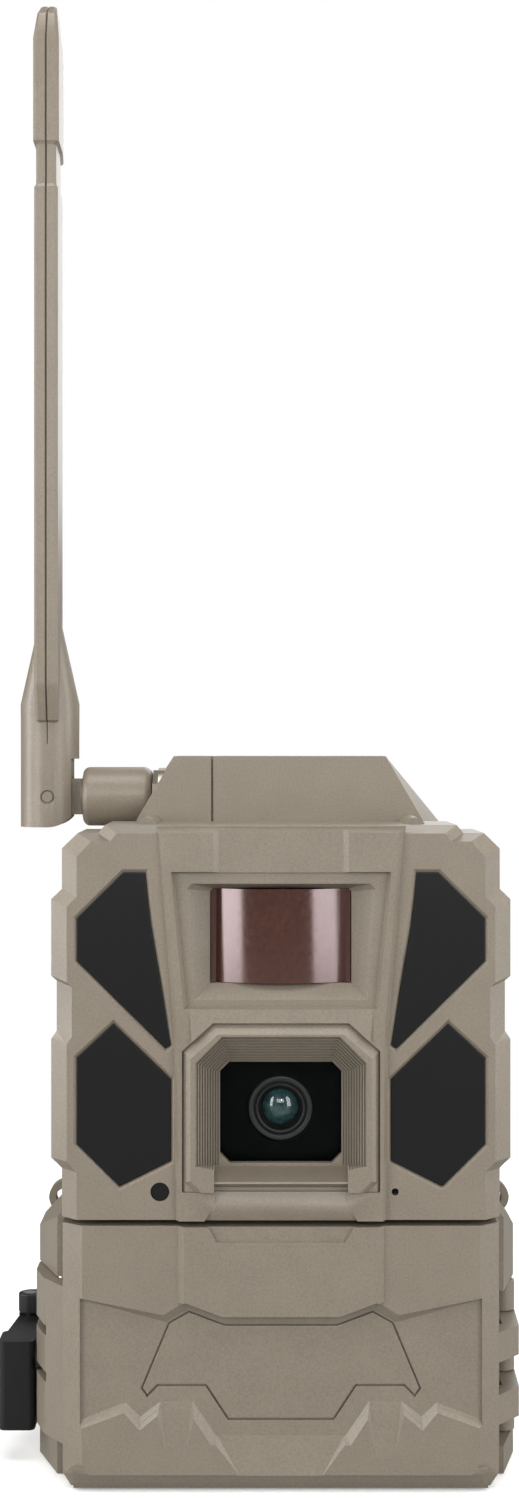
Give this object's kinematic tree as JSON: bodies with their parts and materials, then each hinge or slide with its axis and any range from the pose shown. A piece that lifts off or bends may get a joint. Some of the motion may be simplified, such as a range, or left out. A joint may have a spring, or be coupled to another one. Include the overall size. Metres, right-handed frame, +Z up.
{
  "type": "trail camera",
  "caption": "Weatherproof trail camera with hinged battery door, side latch, infrared windows, motion-sensor window, hooded lens and a folding paddle antenna.",
  "frame": {"origin": "centre of the tripod thread's mouth in the underside of the rear shell", "axes": "+Z up, +X to the right when facing the lens, -Y the way the lens looks"},
  "size_m": [0.1276, 0.087, 0.3596],
  "materials": {
    "housing_plastic": "fine moulded texture, taupe",
    "antenna_plastic": "fine moulded texture, taupe",
    "black_plastic": "satin black",
    "ir_plastic": "dark infrared filter",
    "fresnel_plastic": "dark red-brown lens sheet",
    "clear_glass": "polished, dark coating",
    "board": "green solder mask",
    "steel": "brushed",
    "brass": "turned",
    "rubber": "soft black",
    "led": "clear epoxy dome",
    "cell_wrap": "wrapped steel can",
    "display_glass": "dark display window",
    "card_plastic": "card plastic",
    "red_plastic": "switch knob"
  },
  "bodies": {
    "housing": {"front_shell": "housing_plastic", "rear_shell": "housing_plastic", "shell_gasket": "rubber", "shell_screws": "steel", "hump_cover": "housing_plastic", "connector_cover": "housing_plastic", "lens_hood": "housing_plastic", "lens_window": "clear_glass", "lens_barrel": "black_plastic", "lens_ring": "black_plastic", "lens_element": "clear_glass", "image_sensor_board": "board", "ir_window_upper_left": "ir_plastic", "ir_window_upper_right": "ir_plastic", "ir_window_lower_left": "ir_plastic", "ir_window_lower_right": "ir_plastic", "ir_board_left": "board", "ir_board_right": "board", "ir_leds": "led", "pir_window": "fresnel_plastic", "pir_sensor": "steel", "light_sensor": "black_plastic", "microphone": "black_plastic", "main_board": "board", "board_parts": "black_plastic", "modem_module": "steel", "hinge_pin": "steel", "latch_base": "black_plastic", "latch_pin": "steel", "control_panel": "black_plastic", "control_board": "board", "display": "display_glass", "sd_socket": "steel", "sim_socket": "steel", "power_jack": "black_plastic", "tripod_inserts": "brass", "strap_bracket": "housing_plastic", "bracket_screws": "steel", "antenna_connector": "brass"},
    "door": {"door": "housing_plastic", "door_panel": "housing_plastic", "door_gasket": "rubber"},
    "latch": {"latch_lever": "black_plastic"},
    "tray": {"battery_tray": "black_plastic", "tray_front": "black_plastic", "tray_back": "black_plastic", "battery_contacts": "steel", "battery_cells": "cell_wrap"},
    "button_left": {"button_left": "black_plastic"},
    "button_ok": {"button_ok": "black_plastic"},
    "button_right": {"button_right": "black_plastic"},
    "power_switch": {"power_switch": "red_plastic"},
    "sd_card": {"sd_card": "card_plastic"},
    "sim_card": {"sim_card": "card_plastic"},
    "jack_cover": {"jack_cover": "rubber"},
    "antenna_nut": {"antenna_nut": "antenna_plastic"},
    "antenna_elbow": {"antenna_elbow": "antenna_plastic"},
    "antenna": {"antenna_knuckle": "antenna_plastic", "antenna_blade_left": "antenna_plastic", "antenna_blade_right": "antenna_plastic"}
  },
  "joints": [
    {"name": "door_swing", "type": "hinge", "parent": "housing", "child": "door", "pos_m": [0.0546, -0.011, 0.025], "axis": [0, 0, 1], "range_deg": [0, 105]},
    {"name": "latch_turn", "type": "hinge", "parent": "housing", "child": "latch", "pos_m": [-0.0634, 0.01, 0.018], "axis": [0, 0, -1], "range_deg": [0, 95]},
    {"name": "tray_slide", "type": "slide", "parent": "housing", "child": "tray", "axis": [0, -1, 0], "range_m": [0, 0.06]},
    {"name": "button_left_press", "type": "slide", "parent": "housing", "child": "button_left", "axis": [0, 1, 0], "range_m": [0, 0.0006], "stiffness_N_per_m": 300},
    {"name": "button_ok_press", "type": "slide", "parent": "housing", "child": "button_ok", "axis": [0, 1, 0], "range_m": [0, 0.0006], "stiffness_N_per_m": 300},
    {"name": "button_right_press", "type": "slide", "parent": "housing", "child": "button_right", "axis": [0, 1, 0], "range_m": [0, 0.0006], "stiffness_N_per_m": 300},
    {"name": "power_switch_slide", "type": "slide", "parent": "housing", "child": "power_switch", "axis": [1, 0, 0], "range_m": [0, 0.0046]},
    {"name": "sd_card_slide", "type": "slide", "parent": "housing", "child": "sd_card", "axis": [0, -1, 0], "range_m": [0, 0.006]},
    {"name": "sim_card_slide", "type": "slide", "parent": "housing", "child": "sim_card", "axis": [0, -1, 0], "range_m": [0, 0.006]},
    {"name": "jack_cover_swing", "type": "hinge", "parent": "housing", "child": "jack_cover", "pos_m": [0.0544, 0.022, 0.0314], "axis": [0, -1, 0], "range_deg": [0, 90]},
    {"name": "antenna_nut_turn", "type": "hinge", "parent": "housing", "child": "antenna_nut", "pos_m": [-0.04, 0.004, 0.1614], "axis": [1, 0, 0], "continuous": true},
    {"name": "antenna_swivel", "type": "hinge", "parent": "housing", "child": "antenna_elbow", "pos_m": [-0.047, 0.004, 0.1614], "axis": [1, 0, 0], "range_deg": [-90, 90]},
    {"name": "antenna_tilt", "type": "hinge", "parent": "antenna_elbow", "child": "antenna", "pos_m": [-0.0579, 0.004, 0.1614], "axis": [0, -1, 0], "range_deg": [0, 90]}
  ],
  "couplings": [
    {"joint": "tray_slide", "follows": "door_swing", "m_per_rad": 0.03}
  ]
}
